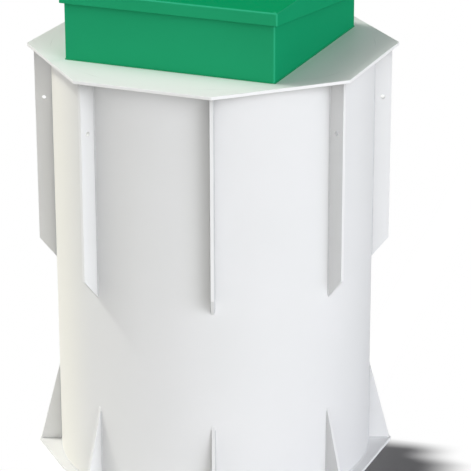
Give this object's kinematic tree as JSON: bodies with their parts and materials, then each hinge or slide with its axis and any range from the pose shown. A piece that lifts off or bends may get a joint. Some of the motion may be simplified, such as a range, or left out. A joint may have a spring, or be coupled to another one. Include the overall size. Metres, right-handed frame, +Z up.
{
  "type": "septic tank",
  "caption": "Upright round septic tank with an octagonal base and deck, ribs, gussets, a square neck and a hinged lid.",
  "frame": {"origin": "centre of the base's underside", "axes": "+Z up, the neck's front faces -Y, +X to the right seen from the front"},
  "size_m": [1.0624, 1.0624, 1.566],
  "materials": {
    "white_sheet": "smooth satin sheet",
    "green_sheet": "smooth satin sheet, coloured through",
    "hinge_steel": "satin stainless steel"
  },
  "bodies": {
    "tank": {"base": "white_sheet", "shell_front": "white_sheet", "shell_front_right": "white_sheet", "shell_right": "white_sheet", "shell_back_right": "white_sheet", "shell_back": "white_sheet", "shell_back_left": "white_sheet", "shell_left": "white_sheet", "shell_front_left": "white_sheet", "deck": "white_sheet", "rib_1": "white_sheet", "rib_2": "white_sheet", "rib_3": "white_sheet", "rib_4": "white_sheet", "rib_5": "white_sheet", "rib_6": "white_sheet", "rib_7": "white_sheet", "rib_8": "white_sheet", "gusset_1": "white_sheet", "gusset_2": "white_sheet", "gusset_3": "white_sheet", "gusset_4": "white_sheet", "gusset_5": "white_sheet", "gusset_6": "white_sheet", "gusset_7": "white_sheet", "gusset_8": "white_sheet", "neck_front": "green_sheet", "neck_right": "green_sheet", "neck_back": "green_sheet", "neck_left": "green_sheet", "hinge_block_left": "green_sheet", "hinge_block_right": "green_sheet", "neck_leaf_left": "hinge_steel", "neck_leaf_right": "hinge_steel", "hinge_pin_left": "hinge_steel", "hinge_pin_right": "hinge_steel"},
    "lid": {"lid_top": "green_sheet", "lid_front": "green_sheet", "lid_right": "green_sheet", "lid_back": "green_sheet", "lid_left": "green_sheet", "lid_leaf_left": "hinge_steel", "lid_leaf_right": "hinge_steel"}
  },
  "joints": [
    {"name": "lid_hinge", "type": "hinge", "parent": "tank", "child": "lid", "pos_m": [0, 0.359, 1.447], "axis": [-1, 0, 0], "range_deg": [0, 100]}
  ]
}
